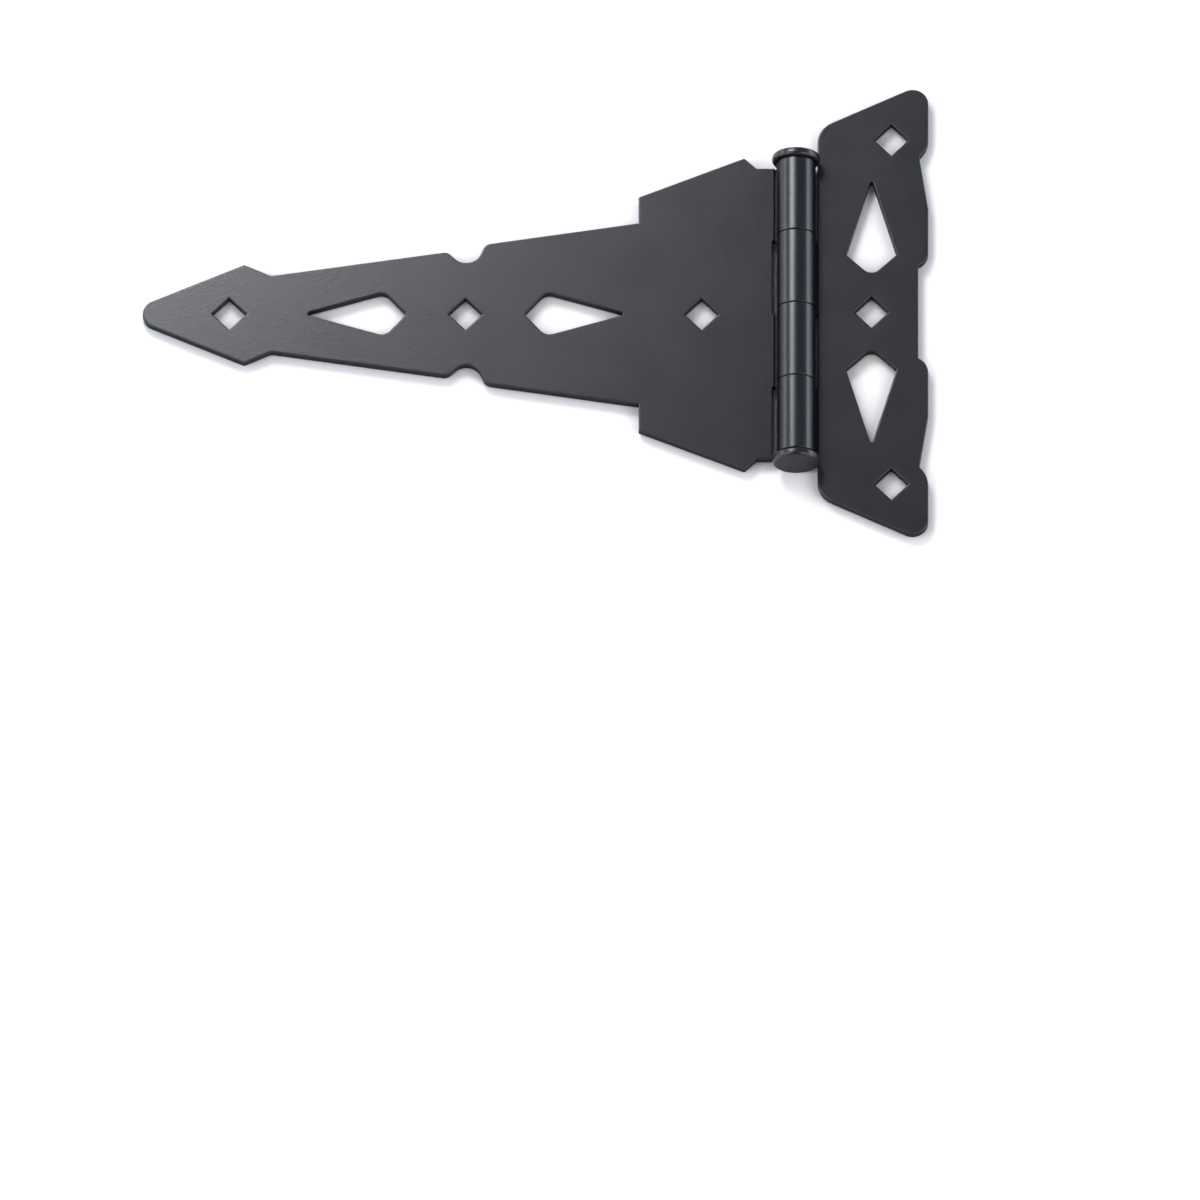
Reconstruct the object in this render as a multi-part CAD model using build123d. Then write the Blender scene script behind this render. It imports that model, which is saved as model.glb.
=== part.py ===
from build123d import *

import math
import os

# A tee hinge: a long pierced strap leaf and a wide tee leaf that turn on one headed pin.
# Millimetres. X runs along the strap, which points to -X, with the tee leaf towards +X.
# Y runs along the pin. Z points out from the gate, and the backs of both leaves lie on Z = 0.
# The origin is on that plane, under the middle of the pin.

# Sheet, pin and knuckles
sheet = 2.6                   # thickness of the steel that both leaves are cut from
pin_radius = 3.45
running_clearance = 0.05      # between the pin and the inside of every knuckle
knuckle_length = 24.6
knuckle_gap = 0.2             # between one knuckle and the next
knuckle_count = 4
seam_gap = 0.4                # from the end of a rolled knuckle down to the face of its leaf
edge_round = 0.45             # soft edge that blanking and the coating leave on the outline
knuckle_end_round = 0.25      # soft rim at each end of a knuckle
root_gap = 0.55               # from the barrel's side to the line where the face of a leaf drops away
root_depth = 1.0              # how far the face drops there
root_undercut = 1.4           # how far the drop runs on under the barrel
near = 0.05                   # how closely an edge has to match the place or size it is picked by

# Heads of the pin
head_radius = 7.5
head_thickness = 2.9
head_crown = 0.3              # how far the middle of a head stands above its rim
head_flat_radius = 1.5        # flat spot in the middle of a head
head_edge_round = 1.1         # outer edge of a head, on its crowned side
head_back_round = 0.9         # inner edge of a head, next to the knuckles
upper_head_play = 0.1
lower_head_play = 0.65

# Bolt holes, square and set with a corner along the strap
hole_side = 7.55
root_hole_reach = 29.4        # from the pin to the hole between the wings
tip_hole_inset = 26.9         # from the tip to the hole in the arrow head

# Strap leaf: reaches are from the pin, widths are from the middle line
strap_reach = 203.2
strap_tip_round = 4.6
arrow_length = 31.6           # from the widest part of the arrow head to the tip
arrow_half_width = 16.75
neck_length = 8.3             # from the widest part of the arrow head back to the neck
neck_half_width = 12.95
neck_round = 2.0
front_lip_offset = 5.6        # lips and hollow are measured from the middle hole
front_lip_half_width = 21.1
hollow_offset = 1.8
hollow_half_width = 13.9      # where the two sides of the hollow would meet
hollow_round = 5.0
rear_lip_offset = 6.3
rear_lip_half_width = 23.7
lip_round = 2.7
wing_front_reach = 49.0
waist_half_width = 30.9       # half width of the blade where it meets the wings
wing_front_half_width = 39.7
wing_peak_reach = 16.1
wing_peak_overhang = 3.5      # how far the peak of a wing stands past the end of the barrel
wing_heel_reach = 12.3
crisp_round = 0.5             # small rounding of the crisp outline corners
strap_notch_gap = 1.15        # from the tee leaf's knuckles to the edge of the strap leaf

# Tee leaf: reaches are from the pin, heights are from the leaf's own middle
tee_rise = 0.7                # how far the leaf's middle sits above the middle of the pin
tee_reach = 41.1
tee_inner_half_height = 62.3
tee_inner_round = 7.6
tee_outer_half_height = 78.5
tee_outer_round = 4.9
ear_turn_half_height = 55.8
ear_round = 8.5
ear_foot_reach = 38.3
ear_foot_half_height = 52.75
flank_half_height = 34.85
flank_round = 1.5
bead_half_height = 17.3
bead_round = 5.4
recess_reach = 38.0
recess_half_height = 15.75
tee_middle_hole_reach = 23.4
tee_outer_hole_reach = 29.6
tee_outer_hole_half_height = 58.6

# Pierced kites: distances from the middle hole to the sharp tip, the shoulders and the blunt end
kite_tip_round = 0.5
strap_kite_tip = 50.2
strap_kite_shoulder = 25.0
strap_kite_blunt = 18.3
strap_kite_half_width = 7.4
strap_kite_shoulder_round = 3.7
strap_kite_blunt_round = 1.2
tee_kite_tip = 45.4
tee_kite_shoulder = 19.5
tee_kite_blunt = 12.3
tee_kite_half_width = 7.85
tee_kite_shoulder_round = 0.5
tee_kite_blunt_round = 3.2

# Sizes that follow from the ones above
bore_radius = pin_radius + running_clearance
barrel_radius = bore_radius + sheet
axis_height = barrel_radius
knuckle_pitch = knuckle_length + knuckle_gap
barrel_half = (knuckle_count * knuckle_length + (knuckle_count - 1) * knuckle_gap) / 2
tip_hole_reach = strap_reach - tip_hole_inset
middle_hole_reach = (root_hole_reach + tip_hole_reach) / 2
arrow_reach = strap_reach - arrow_length
strap_notch_reach = barrel_radius + strap_notch_gap
tee_inner_reach = barrel_radius + root_gap


def rounded_face(corners):
    """Flat face through corners given as (x, y, radius), each corner rounded by its radius."""
    face = make_face(Polyline([(x, y) for x, y, radius in corners], close=True))
    for x, y, radius in corners:
        if radius > 0:
            face = fillet(face.vertices().sort_by_distance((x, y))[0], radius)
    return face


def mirrored(half):
    """Corners of a whole outline, from its upper half and the same half turned over the X axis."""
    return half + [(x, -y, radius) for x, y, radius in reversed(half) if y > 0]


def kite(tip, shoulder, blunt, half_width, shoulder_round, blunt_round):
    """Kite-shaped opening that points along +X, measured from the middle hole of its leaf."""
    return rounded_face([
        (tip, 0, kite_tip_round),
        (shoulder, half_width, shoulder_round),
        (blunt, 0, blunt_round),
        (shoulder, -half_width, shoulder_round),
    ])


def bolt_hole():
    """Square hole set on its corner."""
    return Rot(0, 0, 45) * Rectangle(hole_side, hole_side)


def strap_apex_reach():
    """Where the sides of the arrow head would meet if its tip were not rounded."""
    centre = strap_reach - strap_tip_round
    length = centre - arrow_reach
    slope = math.atan2(arrow_half_width, length)
    slope -= math.asin(strap_tip_round / math.hypot(length, arrow_half_width))
    return centre + strap_tip_round / math.sin(slope)


def strap_outline():
    """Outline of the strap leaf in plan, from its tip to the line under the pin."""
    half = [
        (-strap_apex_reach(), 0, strap_tip_round),
        (-arrow_reach, arrow_half_width, crisp_round),
        (-(arrow_reach - neck_length), neck_half_width, neck_round),
        (-(middle_hole_reach + front_lip_offset), front_lip_half_width, lip_round),
        (-(middle_hole_reach - hollow_offset), hollow_half_width, hollow_round),
        (-(middle_hole_reach - rear_lip_offset), rear_lip_half_width, lip_round),
        (-wing_front_reach, waist_half_width, 0),
        (-wing_front_reach, wing_front_half_width, crisp_round),
        (-wing_peak_reach, barrel_half + wing_peak_overhang, crisp_round),
        (-wing_heel_reach, barrel_half, 0),
        (0, barrel_half, 0),
    ]
    return rounded_face(mirrored(half))


def tee_outline():
    """Outline of the tee leaf in plan, without the tabs that run under the pin."""
    half = [
        (tee_inner_reach, tee_inner_half_height, tee_inner_round),
        (tee_reach, tee_outer_half_height, tee_outer_round),
        (tee_reach, ear_turn_half_height, ear_round),
        (ear_foot_reach, ear_foot_half_height, 0),
        (tee_reach, flank_half_height, flank_round),
        (tee_reach, bead_half_height, bead_round),
        (recess_reach, recess_half_height, 0),
    ]
    return Pos(0, tee_rise) * rounded_face(mirrored(half))


def knuckle_middle(index):
    """Where the middle of a knuckle lies along the pin, counted from the upper end."""
    return barrel_half - knuckle_length / 2 - index * knuckle_pitch


def rolled_knuckle(index, side):
    """Sheet rolled once round the pin, from a leaf that lies towards side (-1 or +1) in X."""
    roll_end = math.asin((axis_height - sheet - seam_gap) / barrel_radius)
    turn = 270 + math.degrees(roll_end)
    section = Pos(knuckle_middle(index), sheet / 2) * Rectangle(knuckle_length, sheet)
    return revolve(Plane.YZ * section, Axis((0, 0, axis_height), (0, side, 0)), turn)


def tab(index, side, reach):
    """Flat stretch of a leaf that runs from reach to the line where its knuckle starts to roll."""
    plan = Pos(side * reach / 2, knuckle_middle(index)) * Rectangle(reach, knuckle_length)
    return extrude(plan, sheet)


def root_groove(index, side):
    """Drop in the face of a leaf along the root of a knuckle, partly under the barrel."""
    width = root_gap + root_undercut
    place = (side * (barrel_radius + root_gap - width / 2), knuckle_middle(index), sheet - root_depth / 2)
    return Pos(*place) * Box(width, knuckle_length, root_depth)


def leaf_from(plan, indices, side, reach):
    """Leaf cut to a plan, with knuckles rolled from tabs that leave its edge at reach."""
    leaf = extrude(plan, sheet)
    for index in indices:
        leaf += tab(index, side, reach)
        leaf += rolled_knuckle(index, side)
        leaf -= root_groove(index, side)
    front = leaf.faces().filter_by_position(Axis.Z, sheet - near, sheet + near).sort_by(SortBy.AREA)[-1]
    outline = front.edges().filter_by(lambda edge: side * edge.center().X > reach - near)
    root = barrel_radius + root_gap
    drop = front.edges().filter_by(lambda edge: abs(side * edge.center().X - root) < near)
    leaf = fillet(set(outline + drop), edge_round)
    circles = leaf.edges().filter_by(GeomType.CIRCLE)
    knuckle_ends = circles.filter_by(lambda edge: abs(edge.radius - barrel_radius) < near)
    return fillet(knuckle_ends, knuckle_end_round)


def strap_leaf():
    """Strap leaf: arrow-headed blade and wings, with the first and third knuckles rolled from it."""
    notch = Pos(-strap_notch_reach / 2, 0) * Rectangle(strap_notch_reach, 2 * barrel_half)
    plan = strap_outline() - notch
    opening = kite(strap_kite_tip, strap_kite_shoulder, strap_kite_blunt, strap_kite_half_width,
                   strap_kite_shoulder_round, strap_kite_blunt_round)
    plan -= Pos(-middle_hole_reach, 0) * opening
    plan -= Pos(-middle_hole_reach, 0) * Rot(0, 0, 180) * opening
    for reach in (root_hole_reach, middle_hole_reach, tip_hole_reach):
        plan -= Pos(-reach, 0) * bolt_hole()
    return leaf_from(plan, range(0, knuckle_count, 2), -1, strap_notch_reach)


def tee_leaf():
    """Tee leaf: tall eared plate, with the second and fourth knuckles rolled from it."""
    plan = tee_outline()
    opening = kite(tee_kite_tip, tee_kite_shoulder, tee_kite_blunt, tee_kite_half_width,
                   tee_kite_shoulder_round, tee_kite_blunt_round)
    plan -= Pos(tee_middle_hole_reach, tee_rise) * Rot(0, 0, 90) * opening
    plan -= Pos(tee_middle_hole_reach, tee_rise) * Rot(0, 0, -90) * opening
    plan -= Pos(tee_middle_hole_reach, tee_rise) * bolt_hole()
    for height in (tee_outer_hole_half_height, -tee_outer_hole_half_height):
        plan -= Pos(tee_outer_hole_reach, tee_rise + height) * bolt_hole()
    return leaf_from(plan, range(1, knuckle_count, 2), 1, tee_inner_reach)


def pin_head(end, out):
    """Crowned head whose inner face lies at end along the pin, and which points out (-1 or +1)."""
    rim = head_thickness - head_crown
    corner = (head_radius, rim)
    brow = (head_flat_radius, head_thickness)
    line = Polyline([brow, (0, head_thickness), (0, 0), (head_radius, 0), corner])
    crown = TangentArc(brow, corner, tangent=(1, 0))
    section = make_face(line + crown)
    section = fillet(section.vertices().sort_by_distance(corner)[0], head_edge_round)
    section = fillet(section.vertices().sort_by_distance((head_radius, 0))[0], head_back_round)
    side = Plane(origin=(0, end, axis_height), x_dir=(1, 0, 0), z_dir=(0, 0, out))
    return revolve(side * section, Axis((0, 0, axis_height), (0, 1, 0)))


def headed_pin():
    """Pin with a head at each end, and a little play between the heads and the knuckles."""
    upper = barrel_half + upper_head_play
    lower = -barrel_half - lower_head_play
    middle = Pos(0, (upper + lower) / 2, axis_height)
    pin = middle * Rot(90, 0, 0) * Cylinder(pin_radius, upper - lower)
    return pin + pin_head(upper, 1) + pin_head(lower, -1)


def main():
    os.makedirs("parts", exist_ok=True)
    for name, shape in (("strap_leaf", strap_leaf()), ("tee_leaf", tee_leaf()), ("pin", headed_pin())):
        print(name, len(shape.solids()), round(shape.volume, 1), shape.bounding_box())
        export_step(shape, "parts/" + name + ".step")


main()
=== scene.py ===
# %% [markdown]
# # A tee hinge in satin black powder coat
#
# The real object is a gate hinge. A long strap is bolted to the gate, a short broad tee
# leaf is bolted to the post, and the strap turns on one pin with a head at each end. The
# metal shapes are already finished as solid parts, packed as a frame in metres. This lesson
# gives them their surface, puts them on a pale floor under soft studio light, and looks at
# them the way a catalogue picture does.

import math

import bpy
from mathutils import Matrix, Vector


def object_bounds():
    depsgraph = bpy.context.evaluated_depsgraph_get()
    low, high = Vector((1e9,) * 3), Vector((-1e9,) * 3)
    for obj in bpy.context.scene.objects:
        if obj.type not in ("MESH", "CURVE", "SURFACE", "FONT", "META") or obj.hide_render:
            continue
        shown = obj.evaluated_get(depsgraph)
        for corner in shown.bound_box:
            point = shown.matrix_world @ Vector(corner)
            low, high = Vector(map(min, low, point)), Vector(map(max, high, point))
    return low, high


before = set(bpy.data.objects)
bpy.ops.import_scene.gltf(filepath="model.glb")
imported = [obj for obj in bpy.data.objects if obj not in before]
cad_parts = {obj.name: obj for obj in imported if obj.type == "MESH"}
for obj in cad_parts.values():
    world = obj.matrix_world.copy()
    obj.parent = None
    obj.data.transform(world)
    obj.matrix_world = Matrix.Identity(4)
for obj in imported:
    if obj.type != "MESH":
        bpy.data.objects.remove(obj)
solid_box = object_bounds()


def in_mm(box):
    """Both corners of a box in millimetres."""
    return [[round(1000 * value, 1) for value in corner] for corner in box]


print("solid parts:", ", ".join(sorted(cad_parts)))
print("box of the solid parts in mm:", in_mm(solid_box))

# %% [markdown]
# ## The camera
#
# The picture was taken with a long lens from far away, so parallel lines stay parallel. A
# long lens on a distant camera would come close to that. An orthographic camera does it
# exactly: it has no vanishing point, only a scale. The hinge lies on its back, and the
# camera looks down on it from the foot of the picture. A part that stands 1 mm high shows
# as 0.408 mm of height in the picture, which gives a lean of about 24 degrees from straight
# above. The hinge fills the upper part of the picture, so the camera stands lower than the
# middle of the hinge instead of turning towards it.

# %% Camera
height_shown = 0.408
lean = math.asin(height_shown)
picture_width = 0.3732
picture_centre = (-0.0610, -0.0880)
camera_distance = 1.5

toward_camera = Vector((0, -math.sin(lean), math.cos(lean)))
picture_right = Vector((1, 0, 0))
picture_up = Vector((0, math.cos(lean), math.sin(lean)))

camera_data = bpy.data.cameras.new("catalogue_camera")
camera_data.type = "ORTHO"
camera_data.ortho_scale = picture_width
camera = bpy.data.objects.new("catalogue_camera", camera_data)
camera.rotation_euler = (lean, 0, 0)
camera.location = (
    picture_right * picture_centre[0]
    + picture_up * picture_centre[1]
    + toward_camera * camera_distance
)
bpy.context.collection.objects.link(camera)
bpy.context.scene.camera = camera
bpy.context.scene.view_settings.view_transform = "Standard"
print("camera stands at", [round(c, 3) for c in camera.location], "m")

# %% [markdown]
# ## Wiring nodes by name
#
# Every surface here is a small network of nodes. Written out in full, each node takes three
# or four lines. Three helpers say the same in one: place a node, feed its inputs with a
# number or with another node's output, and do one sum.

# %% Node helpers
def new_node(tree, kind, **choices):
    """A node of this kind. The choices are its menus, such as operation."""
    node = tree.nodes.new("ShaderNode" + kind)
    for name, choice in choices.items():
        setattr(node, name, choice)
    return node


def feed(tree, node, sources):
    """Feed inputs, by name or number, each with a value or with another node's output."""
    for name, source in sources.items():
        if isinstance(source, bpy.types.NodeSocket):
            tree.links.new(source, node.inputs[name])
        else:
            node.inputs[name].default_value = source
    return node


def maths(tree, operation, *sources):
    """One sum, with numbers or outputs as its terms."""
    node = new_node(tree, "Math", operation=operation)
    return feed(tree, node, dict(enumerate(sources))).outputs["Value"]


print("helpers for nodes:", ", ".join(h.__name__ for h in (new_node, feed, maths)))

# %% [markdown]
# ## The floor
#
# The hinge lies on white paper. It touches the paper with the rims of its pin heads, which
# reach a little lower than the backs of the leaves, so the floor goes at the lowest point
# of the whole hinge. Paper that is lit softly is never quite white in a picture. More light
# would cure that, but it would fall on the hinge too. So the paper gets a faint glow, seen
# only by the camera and in reflections, which lights nothing. Where the paper is closed in
# by metal, an ambient occlusion node takes the glow away. That keeps the shadow of the
# hinge, and the narrow slots beside the barrel stay dark.

# %% Floor material
paper_white = 0.93
glow_strength = 0.28
glow_reach = 0.008
glow_fall = 2.5
shade_samples = 8


def seen_directly_or_mirrored(tree):
    """Two masks: rays from the camera, and rays that a mirror or glass has turned."""
    ray = new_node(tree, "LightPath").outputs
    mirrored = maths(tree, "MAXIMUM", ray["Is Glossy Ray"], ray["Is Transmission Ray"])
    return ray["Is Camera Ray"], mirrored


floor_paper = bpy.data.materials.new("floor_paper")
floor_paper.use_nodes = True
paper = floor_paper.node_tree
paper.nodes.clear()

direct, mirrored = seen_directly_or_mirrored(paper)
openness = new_node(paper, "AmbientOcclusion", samples=shade_samples)
feed(paper, openness, {"Distance": glow_reach})
open_share = maths(paper, "POWER", openness.outputs["AO"], glow_fall)
glow_seen = maths(paper, "MULTIPLY", open_share, maths(paper, "MAXIMUM", direct, mirrored))
glow = new_node(paper, "Emission")
feed(paper, glow, {"Strength": maths(paper, "MULTIPLY", glow_seen, glow_strength)})
matte = new_node(paper, "BsdfDiffuse")
feed(paper, matte, {"Color": (paper_white, paper_white, paper_white, 1)})
paper_and_glow = new_node(paper, "AddShader")
feed(paper, paper_and_glow, {0: matte.outputs[0], 1: glow.outputs[0]})
feed(paper, new_node(paper, "OutputMaterial"), {"Surface": paper_and_glow.outputs[0]})
print("floor_paper has", len(paper.nodes), "nodes")

# %% Floor
floor_half = 3.0
floor_height = solid_box[0][2]
floor_corners = [
    (x * floor_half, y * floor_half, floor_height)
    for x, y in ((-1, -1), (1, -1), (1, 1), (-1, 1))
]
floor_mesh = bpy.data.meshes.new("floor")
floor_mesh.from_pydata(floor_corners, [], [(0, 1, 2, 3)])
floor_mesh.materials.append(floor_paper)
floor = bpy.data.objects.new("floor", floor_mesh)
bpy.context.collection.objects.link(floor)
print("floor height in mm:", round(1000 * floor_height, 2))

# %% [markdown]
# ## The light
#
# Black metal shows hardly any colour of its own. What the eye reads is the mirror image of
# the lamps, so each lamp is placed by where its image has to appear. Rectangular area lamps
# stand in for the soft boxes of a studio. The strap is brightest at its tip and goes dark
# towards the barrel, so the main panel hangs behind the tip, up to the left. The round
# barrel squeezes the whole room into a few millimetres and shows that panel as its middle
# stripe, with a bluish stripe at each side from two long low panels. Two weak panels beside
# the camera light the walls that face it. From there they reach neither the mirror image of
# the flat faces nor that of the barrel.

# %% Panels
window_tint = (0.97, 0.985, 1.03)
blue_tint = (0.87, 0.94, 1.12)
pale_tint = (0.985, 0.995, 1.02)

# Each line holds a name, a place, a width, a length, a power in watts and a tint.
panels = (
    ("main_panel", (-0.2975, 0.4675, 0.646), 0.32, 0.32, 3.9, window_tint),
    ("left_panel", (-0.95, 0.1, 0.34), 1.6, 0.34, 4.8, blue_tint),
    ("right_panel", (0.95, 0.1, 0.25), 1.6, 0.28, 5.0, blue_tint),
    ("left_front_panel", (-0.62, -0.36, 0.72), 0.6, 0.6, 3.3, pale_tint),
    ("right_front_panel", (0.62, -0.36, 0.72), 0.6, 0.6, 3.3, pale_tint),
)


def hang_panel(name, place, width, length, watts, tint):
    """A soft rectangular lamp at a place in metres, turned to face the hinge."""
    lamp = bpy.data.lights.new(name, "AREA")
    lamp.shape = "RECTANGLE"
    lamp.size = width
    lamp.size_y = length
    lamp.energy = watts
    lamp.color = tint
    panel = bpy.data.objects.new(name, lamp)
    panel.location = place
    panel.rotation_euler = (-Vector(place)).to_track_quat("-Z", "Y").to_euler()
    panel.visible_camera = False
    bpy.context.collection.objects.link(panel)
    glare = watts / (math.pi * width * length)
    print(name, "shines with a radiance of", round(glare, 2))


for panel_values in panels:
    hang_panel(*panel_values)

# %% [markdown]
# ## The room
#
# Past the panels the room is dim, which keeps the dark stripes of the barrel dark. Only the
# wall behind the floor's far edge is white. Real walls and a backdrop could be built, but
# the world gives the same with two backgrounds. The white one is seen by the camera, and as
# a low band in reflections, and it lights nothing.

# %% Room
dim_strength = 0.14
dim_tint = (0.96, 0.97, 1.0, 1)
wall_white = (1, 1, 1, 1)
wall_full_below = 0.01
wall_gone_above = 0.05


def split_axes(tree, vector):
    """The X, Y and Z of a place or direction."""
    return feed(tree, new_node(tree, "SeparateXYZ"), {"Vector": vector}).outputs


def slope(tree, value, start, end):
    """Goes from 0 to 1 while the value goes from start to end."""
    node = new_node(tree, "MapRange")
    sources = {"Value": value, "From Min": start, "From Max": end}
    return feed(tree, node, sources).outputs["Result"]


room = bpy.data.worlds.new("studio_room")
bpy.context.scene.world = room
room.use_nodes = True
walls = room.node_tree
walls.nodes.clear()

looking = split_axes(walls, new_node(walls, "TexCoord").outputs["Generated"])
low_band = slope(walls, looking["Z"], wall_gone_above, wall_full_below)
direct, mirrored = seen_directly_or_mirrored(walls)
wall_seen = maths(walls, "MAXIMUM", direct, maths(walls, "MULTIPLY", mirrored, low_band))
dim = new_node(walls, "Background")
feed(walls, dim, {"Color": dim_tint, "Strength": dim_strength})
white = new_node(walls, "Background")
feed(walls, white, {"Color": wall_white, "Strength": 1})
room_mix = new_node(walls, "MixShader")
feed(walls, room_mix, {"Fac": wall_seen, 1: dim.outputs[0], 2: white.outputs[0]})
feed(walls, new_node(walls, "OutputWorld"), {"Surface": room_mix.outputs[0]})
print("studio_room has", len(walls.nodes), "nodes")

# %% [markdown]
# ## Groups
#
# Some effects are used by more than one coat. Their nodes could be written out again in
# each material, but then a change has to be made several times. A node group is built once,
# has named inputs and outputs, and is placed in each material with its own values.

# %% Group helpers
def new_group(name, given, made):
    """An empty node group. Gives the group, the outputs of its start and its end node."""
    group = bpy.data.node_groups.new(name, "ShaderNodeTree")
    for label, value in given.items():
        socket = group.interface.new_socket(label, in_out="INPUT", socket_type="NodeSocketFloat")
        socket.default_value = value
    for label in made:
        group.interface.new_socket(label, in_out="OUTPUT", socket_type="NodeSocketFloat")
    start = group.nodes.new("NodeGroupInput")
    end = group.nodes.new("NodeGroupOutput")
    print("group", name, "takes", ", ".join(given), "and gives", ", ".join(made))
    return group, start.outputs, end


def place_group(tree, group, values):
    """The group's outputs, placed in a material with its own values."""
    node = new_node(tree, "Group")
    node.node_tree = group
    return feed(tree, node, values).outputs


def lay_over(tree, under, over, mask):
    """The value under, covered by the value over where the mask is 1."""
    node = new_node(tree, "Mix")
    return feed(tree, node, {"Factor": mask, "A": under, "B": over}).outputs["Result"]


print("helpers for groups:", ", ".join(h.__name__ for h in (new_group, place_group, lay_over)))

# %% [markdown]
# ## Powder grain
#
# The steel is sprayed with dry black powder and baked. The powder melts into a satin skin
# that is never quite flat: a very fine pebble, and a slower swell under it like the skin of
# an orange. It is far too fine to model, so both are noise. The group only gives a height,
# and each material decides how strongly that height bends its light.

# %% Powder grain group
powder_grain, given, made = new_group(
    "powder_grain",
    {"Pebbles per Metre": 2600, "Swells per Metre": 900, "Swell Share": 0.5},
    ["Height"],
)
spot = new_node(powder_grain, "TexCoord").outputs["Object"]
pebbles = new_node(powder_grain, "TexNoise")
feed(powder_grain, pebbles, {"Vector": spot, "Scale": given["Pebbles per Metre"], "Detail": 2})
swells = new_node(powder_grain, "TexNoise")
feed(powder_grain, swells, {"Vector": spot, "Scale": given["Swells per Metre"], "Detail": 1})
height = lay_over(
    powder_grain, pebbles.outputs["Fac"], swells.outputs["Fac"], given["Swell Share"]
)
feed(powder_grain, made, {"Height": height})

# %% [markdown]
# ## Clouds in the coat
#
# The powder falls a little thicker here and thinner there, and hands and packing rub the
# gloss unevenly. On a black part this shows as faint clouds a finger wide. They could be
# painted, but a slow noise is as good and has no seams. The group gives a soft value from
# 0 to 1 that wanders over the surface.

# %% Coat clouds group
cloud_begin = 0.3
cloud_full = 0.7

coat_clouds, given, made = new_group("coat_clouds", {"Clouds per Metre": 60}, ["Cloud"])
spot = new_node(coat_clouds, "TexCoord").outputs["Object"]
clouds = new_node(coat_clouds, "TexNoise")
feed(coat_clouds, clouds, {"Vector": spot, "Scale": given["Clouds per Metre"], "Detail": 3})
cloud = slope(coat_clouds, clouds.outputs["Fac"], cloud_begin, cloud_full)
feed(coat_clouds, made, {"Cloud": cloud})

# %% [markdown]
# ## Edges, barrel and root
#
# Powder draws back from a blanked edge while it melts, so the rim of each leaf carries a
# thinner and duller coat. The cut wall below the rim is given a darker, metallic colour,
# which is painted shade. The knuckles are rolled and rub on each other, which leaves them
# smoother. Low on their sides, where the knuckle comes down to its leaf, the same dark
# metallic colour paints the shade of the crease. The leaves are one piece of metal each, so
# they can't have a material for every zone. The group finds the zones from the place on the
# object and from the way the surface faces: a face that looks straight up has a lean of 0,
# and a wall has one of 1.

# %% Leaf zones group
rim_lean = (0.0, 0.1)
wall_lean = (0.5, 0.9)
back_height = (0.0030, 0.0045)

leaf_zones, given, made = new_group(
    "leaf_zones",
    {"Axis Height": 0.0061, "Barrel Reach": 0.0064, "Root Begin": 0.0103, "Root Full": 0.0090},
    ["Rim", "Wall", "Barrel", "Root"],
)
texture_place = new_node(leaf_zones, "TexCoord").outputs
spot = split_axes(leaf_zones, texture_place["Object"])
facing = split_axes(leaf_zones, texture_place["Normal"])

above_axis = maths(leaf_zones, "SUBTRACT", spot["Z"], given["Axis Height"])
across = new_node(leaf_zones, "CombineXYZ")
feed(leaf_zones, across, {"X": spot["X"], "Z": above_axis})
from_axis = new_node(leaf_zones, "VectorMath", operation="LENGTH")
feed(leaf_zones, from_axis, {0: across.outputs[0]})
outside = maths(leaf_zones, "GREATER_THAN", from_axis.outputs["Value"], given["Barrel Reach"])
barrel = maths(leaf_zones, "SUBTRACT", 1.0, outside)

leaning = maths(leaf_zones, "SUBTRACT", 1.0, maths(leaf_zones, "ABSOLUTE", facing["Z"]))
rim = maths(leaf_zones, "MULTIPLY", slope(leaf_zones, leaning, *rim_lean), outside)
wall = maths(leaf_zones, "MULTIPLY", slope(leaf_zones, leaning, *wall_lean), outside)
# The root mask marks the crease low on the barrel, just above its leaf, where shade is painted.
low = slope(leaf_zones, spot["Z"], given["Root Begin"], given["Root Full"])
not_back = slope(leaf_zones, spot["Z"], *back_height)
root = maths(leaf_zones, "MULTIPLY", maths(leaf_zones, "MULTIPLY", low, not_back), barrel)
feed(leaf_zones, made, {"Rim": rim, "Wall": wall, "Barrel": barrel, "Root": root})

# %% [markdown]
# ## The coat on the leaves
#
# Both leaves get the same recipe with their own numbers. Roughness decides how sharply the
# lamps are mirrored: satin on the flat faces, smoother on the barrel, dull on the edges and
# at the root. The colour is close to black with a breath of blue. On the cut walls and at the
# root it is darker and metallic, which is painted shade. A clear coat on top could give the
# gloss as well, but powder is one layer, so the plain skin of the shader does it.

# %% Coat helpers
coat_index = 1.62


def start_coat(name):
    """A new material. Gives it, its node tree and its skin, which is the Principled shader."""
    coat = bpy.data.materials.new(name)
    coat.use_nodes = True
    skin = coat.node_tree.nodes["Principled BSDF"]
    skin.inputs["IOR"].default_value = coat_index
    return coat, coat.node_tree, skin


def tint_over(tree, under, over, mask):
    """The colour under, covered by the colour over where the mask is 1."""
    node = new_node(tree, "Mix", data_type="RGBA")
    return feed(tree, node, {0: mask, 6: under, 7: over}).outputs[2]


def grain_normal(tree, grain_values, strength, depth):
    """A normal bent by the powder grain, which is depth metres deep."""
    grain = place_group(tree, powder_grain, grain_values)
    bump = new_node(tree, "Bump")
    feed(tree, bump, {"Strength": strength, "Distance": depth, "Height": grain["Height"]})
    return bump.outputs["Normal"]


print("coats have an index of refraction of", coat_index)

# %% Leaf coats
barrel_roughness = 0.28
rim_roughness = 0.42
wall_and_root_roughness = 0.55
thin_powder = (0.0098, 0.0102, 0.0142, 1)
thick_powder = (0.0114, 0.0118, 0.0160, 1)
# A darker metallic black: painted shade on the cut walls and low on the barrel.
painted_shade_black = (0.0080, 0.0082, 0.0100, 1)
leaf_grain_strength = 0.8
leaf_grain_depth = 0.000045


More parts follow.
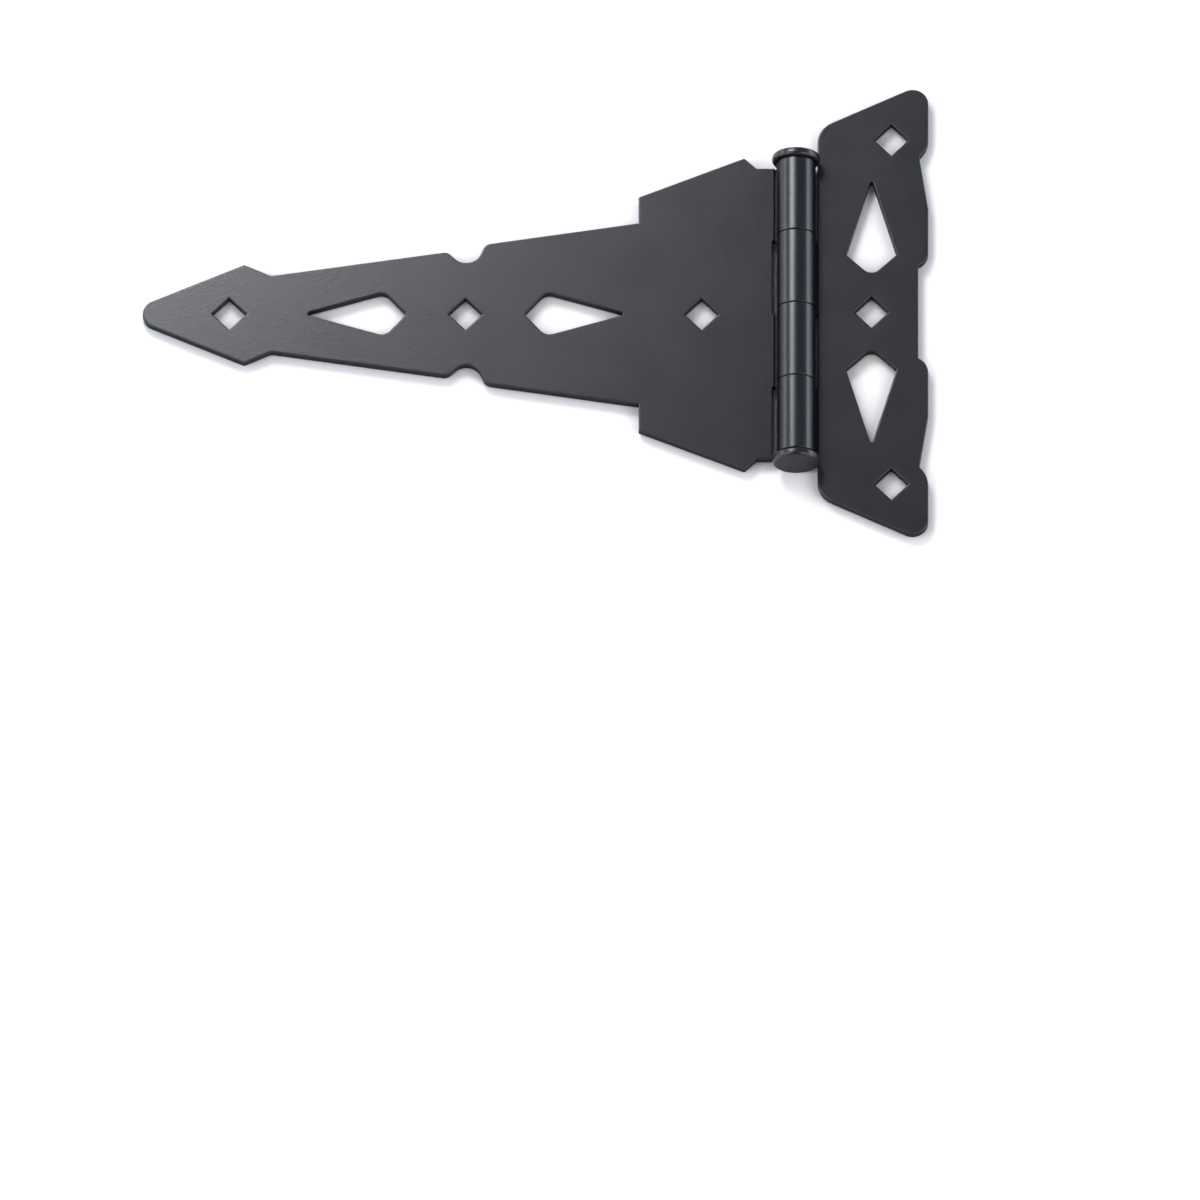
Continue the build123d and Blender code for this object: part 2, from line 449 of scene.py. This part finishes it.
def coat_for_leaf(name, clouds_per_metre, face_roughness):
    """Satin black powder coat for a leaf. face_roughness is the least and the most."""
    coat, tree, skin = start_coat(name)
    zones = place_group(tree, leaf_zones, {})
    cloud = place_group(tree, coat_clouds, {"Clouds per Metre": clouds_per_metre})["Cloud"]
    # The walls and the root get painted shade: a darker colour, made metallic and dull.
    painted_shade = maths(tree, "MAXIMUM", zones["Wall"], zones["Root"])
    roughness = lay_over(tree, face_roughness[0], face_roughness[1], cloud)
    roughness = lay_over(tree, roughness, barrel_roughness, zones["Barrel"])
    roughness = lay_over(tree, roughness, rim_roughness, zones["Rim"])
    roughness = lay_over(tree, roughness, wall_and_root_roughness, painted_shade)
    colour = tint_over(tree, thin_powder, thick_powder, cloud)
    colour = tint_over(tree, colour, painted_shade_black, painted_shade)
    normal = grain_normal(tree, {}, leaf_grain_strength, leaf_grain_depth)
    feed(
        tree,
        skin,
        {"Base Color": colour, "Roughness": roughness, "Metallic": painted_shade, "Normal": normal},
    )
    return coat


strap_coat = coat_for_leaf("strap_coat", 55, (0.275, 0.305))
tee_coat = coat_for_leaf("tee_coat", 65, (0.275, 0.305))
print("strap_coat and tee_coat have", len(strap_coat.node_tree.nodes), "nodes each")

# %% [markdown]
# ## The coat on the pin
#
# Only the two heads of the pin show. They are upset cold and blackened, so their end faces
# keep the rough grey skin of the punch, and their rims are smoother. The head could be cut
# in two to get two materials, but the end faces are easily found by the way they face along
# the pin, so one material does both.

# %% Head zones group
head_zones, given, made = new_group(
    "head_zones", {"Face Begin": 0.80, "Face Full": 0.985}, ["Face"]
)
facing = split_axes(head_zones, new_node(head_zones, "TexCoord").outputs["Normal"])
along_pin = maths(head_zones, "ABSOLUTE", facing["Y"])
face = slope(head_zones, along_pin, given["Face Begin"], given["Face Full"])
feed(head_zones, made, {"Face": face})

# %% Pin coat
head_clouds_per_metre = 220
head_rim_roughness = (0.26, 0.32)
head_face_roughness = 0.62
thin_blacking = (0.0090, 0.0092, 0.0110, 1)
thick_blacking = (0.0130, 0.0130, 0.0138, 1)
punched_steel = (0.048, 0.048, 0.049, 1)
head_grain = {"Pebbles per Metre": 1800, "Swell Share": 0.2}
head_grain_strength = 0.35
head_grain_depth = 0.00005

pin_coat, pin_tree, pin_skin = start_coat("pin_coat")
face = place_group(pin_tree, head_zones, {})["Face"]
cloud = place_group(pin_tree, coat_clouds, {"Clouds per Metre": head_clouds_per_metre})["Cloud"]
roughness = lay_over(pin_tree, head_rim_roughness[0], head_rim_roughness[1], cloud)
roughness = lay_over(pin_tree, roughness, head_face_roughness, face)
colour = tint_over(pin_tree, thin_blacking, thick_blacking, cloud)
colour = tint_over(pin_tree, colour, punched_steel, face)
normal = grain_normal(pin_tree, head_grain, head_grain_strength, head_grain_depth)
feed(
    pin_tree,
    pin_skin,
    {"Base Color": colour, "Roughness": roughness, "Metallic": face, "Normal": normal},
)
print("pin_coat has", len(pin_tree.nodes), "nodes")

# %% [markdown]
# ## Dressing the parts
#
# A surface can be modelled again over a solid part, but here the shapes are already right.
# Each solid part keeps its mesh and only gets its coat in its material slot.

# %% Dress the parts
for part, coat in (("strap_leaf", strap_coat), ("tee_leaf", tee_coat), ("pin", pin_coat)):
    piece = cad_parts[part]
    for slot in piece.material_slots:
        slot.material = coat
    print(part, "wears", coat.name, "on", len(piece.data.polygons), "faces")
